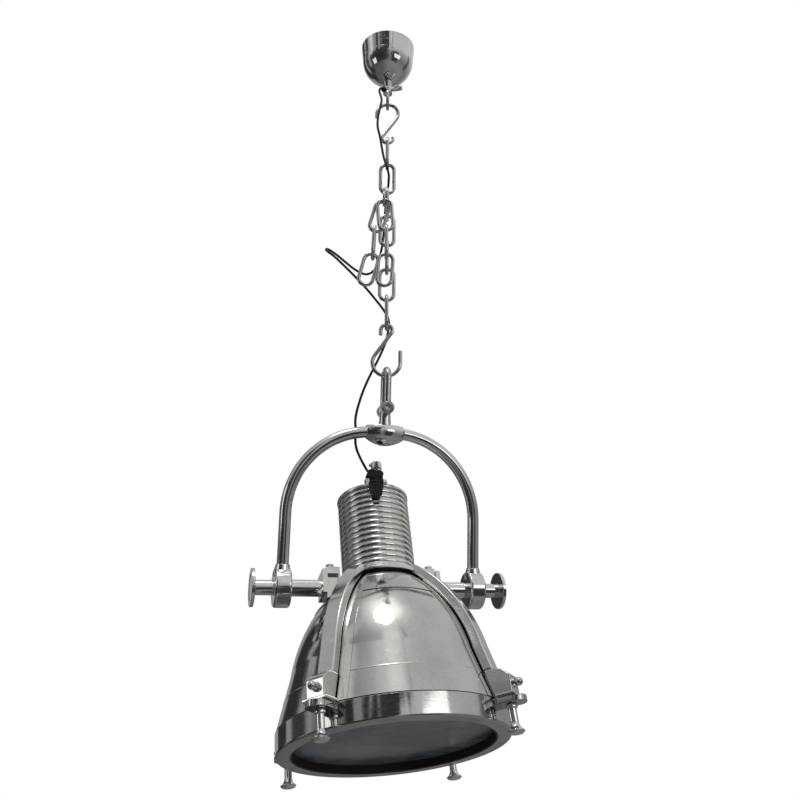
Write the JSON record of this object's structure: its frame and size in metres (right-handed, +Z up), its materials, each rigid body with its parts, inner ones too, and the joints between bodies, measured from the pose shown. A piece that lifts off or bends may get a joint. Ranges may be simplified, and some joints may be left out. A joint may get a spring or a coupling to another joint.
{
  "type": "pendant light",
  "caption": "Polished nautical searchlight pendant: ceiling canopy, hooked chain with spare links, shackle, swivel yoke, and a ribbed tilting head with strapped shade and glazed rim.",
  "frame": {"origin": "centre of the canopy's ceiling bracket, on the ceiling face", "axes": "+Z up, -Y towards the front, where the tilted head's glass faces; the yoke's trunnions run along X"},
  "size_m": [0.477, 0.4129, 1.5066],
  "materials": {
    "black_rubber": "matte",
    "black_paint": "semi-gloss",
    "slate_glass": "frosted",
    "opal_bulb": "opal",
    "insulator": "matte",
    "plain_steel": "plain",
    "plated_steel": "polished nickel plate",
    "polished_alloy": "polished, nickel plated"
  },
  "bodies": {
    "canopy": {"ceiling_bracket": "plain_steel", "canopy": "polished_alloy", "canopy_stem": "plain_steel", "stem_nut": "plain_steel", "canopy_eye": "plated_steel", "eye_screw": "polished_alloy", "cord_grommet": "black_rubber", "terminal_block": "insulator", "cord": "black_rubber"},
    "top_hook": {"top_hook": "plated_steel"},
    "link_1": {"link_1": "plated_steel"},
    "link_2": {"link_2": "plated_steel", "spare_hook": "plated_steel", "spare_links": "plated_steel"},
    "link_3": {"link_3": "plated_steel"},
    "link_4": {"link_4": "plated_steel"},
    "link_5": {"link_5": "plated_steel"},
    "link_6": {"link_6": "plated_steel"},
    "link_7": {"link_7": "plated_steel"},
    "bottom_hook": {"bottom_hook": "plated_steel"},
    "shackle": {"shackle_bow": "plated_steel", "shackle_pin": "plated_steel", "pin_nut": "plated_steel"},
    "swivel": {"swivel_eye": "plated_steel", "swivel_nut": "plain_steel"},
    "yoke": {"yoke_boss": "polished_alloy", "arm_left": "polished_alloy", "arm_right": "polished_alloy", "collar_left": "polished_alloy", "collar_right": "polished_alloy"},
    "head": {"trunnion_left": "polished_alloy", "trunnion_right": "polished_alloy", "bracket_left": "polished_alloy", "bracket_right": "polished_alloy", "bracket_bolts": "plain_steel", "packing": "black_rubber", "crown": "polished_alloy", "neck": "polished_alloy", "cap": "polished_alloy", "lampholder": "insulator", "bulb": "opal_bulb", "cord_clamp": "black_paint", "clamp_bolt": "plated_steel", "gland": "polished_alloy", "shade": "polished_alloy", "strap_1": "polished_alloy", "strap_2": "polished_alloy", "strap_3": "polished_alloy", "strap_4": "polished_alloy", "foot_bolts": "plated_steel", "rim_seal": "black_rubber", "rim_ring": "polished_alloy", "glass_seal": "black_rubber", "glass": "slate_glass"},
    "knob_left": {"knob_left": "polished_alloy"},
    "knob_right": {"knob_right": "polished_alloy"},
    "thumbscrew_1": {"thumbscrew_1": "polished_alloy"},
    "thumbscrew_2": {"thumbscrew_2": "polished_alloy"},
    "thumbscrew_3": {"thumbscrew_3": "polished_alloy"},
    "thumbscrew_4": {"thumbscrew_4": "polished_alloy"}
  },
  "joints": [
    {"name": "top_hook_swing", "type": "hinge", "parent": "canopy", "child": "top_hook", "pos_m": [0, 0, -0.1515], "axis": [0.2588, 0.9659, 0], "range_deg": [-15, 15]},
    {"name": "link_1_swing", "type": "hinge", "parent": "top_hook", "child": "link_1", "pos_m": [0, 0, -0.23995], "axis": [0.9659, -0.2588, 0], "range_deg": [-15, 15]},
    {"name": "link_2_swing", "type": "hinge", "parent": "link_1", "child": "link_2", "pos_m": [0, 0, -0.30065], "axis": [0.2588, 0.9659, 0], "range_deg": [-15, 15]},
    {"name": "link_3_swing", "type": "hinge", "parent": "link_2", "child": "link_3", "pos_m": [0, 0, -0.36135], "axis": [0.9659, -0.2588, 0], "range_deg": [-0.8, 12]},
    {"name": "link_4_swing", "type": "hinge", "parent": "link_3", "child": "link_4", "pos_m": [0, 0, -0.42205], "axis": [0.2588, 0.9659, 0], "range_deg": [-3, 3]},
    {"name": "link_5_swing", "type": "hinge", "parent": "link_4", "child": "link_5", "pos_m": [0, 0, -0.48275], "axis": [0.9659, -0.2588, 0], "range_deg": [-0.8, 10]},
    {"name": "link_6_swing", "type": "hinge", "parent": "link_5", "child": "link_6", "pos_m": [0, 0, -0.54345], "axis": [0.2588, 0.9659, 0], "range_deg": [-4, 4]},
    {"name": "link_7_swing", "type": "hinge", "parent": "link_6", "child": "link_7", "pos_m": [0, 0, -0.60415], "axis": [0.9659, -0.2588, 0], "range_deg": [-15, 15]},
    {"name": "bottom_hook_swing", "type": "hinge", "parent": "link_7", "child": "bottom_hook", "pos_m": [0, 0, -0.66485], "axis": [0.2588, 0.9659, 0], "range_deg": [-15, 15]},
    {"name": "shackle_swing", "type": "hinge", "parent": "bottom_hook", "child": "shackle", "pos_m": [0, 0, -0.76405], "axis": [0.9659, -0.2588, 0], "range_deg": [-15, 15]},
    {"name": "swivel_rock", "type": "hinge", "parent": "shackle", "child": "swivel", "pos_m": [0, 0.00572, -0.83076], "axis": [0.0872, 0.9926, 0.0851], "range_deg": [-15, 15]},
    {"name": "yoke_turn", "type": "hinge", "parent": "swivel", "child": "yoke", "pos_m": [0, 0.00572, -0.83076], "axis": [0, -0.0854, 0.9963], "range_deg": [-45, 45]},
    {"name": "head_tilt", "type": "hinge", "parent": "yoke", "child": "head", "pos_m": [0, 0.03467, -1.16852], "axis": [1, 0, 0], "range_deg": [-30, 40], "deforming": ["cord"]},
    {"name": "knob_left_turn", "type": "hinge", "parent": "head", "child": "knob_left", "pos_m": [-0.22, 0.03467, -1.16852], "axis": [-1, 0, 0], "range_deg": [-180, 180]},
    {"name": "knob_right_turn", "type": "hinge", "parent": "head", "child": "knob_right", "pos_m": [0.22, 0.03467, -1.16852], "axis": [1, 0, 0], "range_deg": [-180, 180]},
    {"name": "thumbscrew_1_turn", "type": "hinge", "parent": "head", "child": "thumbscrew_1", "pos_m": [-0.15203, -0.199, -1.35303], "axis": [0, 0.3584, 0.9336], "range_deg": [-180, 180]},
    {"name": "thumbscrew_2_turn", "type": "hinge", "parent": "head", "child": "thumbscrew_2", "pos_m": [0.15203, -0.199, -1.35303], "axis": [0, 0.3584, 0.9336], "range_deg": [-180, 180]},
    {"name": "thumbscrew_3_turn", "type": "hinge", "parent": "head", "child": "thumbscrew_3", "pos_m": [0.15203, 0.08486, -1.46199], "axis": [0, 0.3584, 0.9336], "range_deg": [-180, 180]},
    {"name": "thumbscrew_4_turn", "type": "hinge", "parent": "head", "child": "thumbscrew_4", "pos_m": [-0.15203, 0.08486, -1.46199], "axis": [0, 0.3584, 0.9336], "range_deg": [-180, 180]}
  ]
}
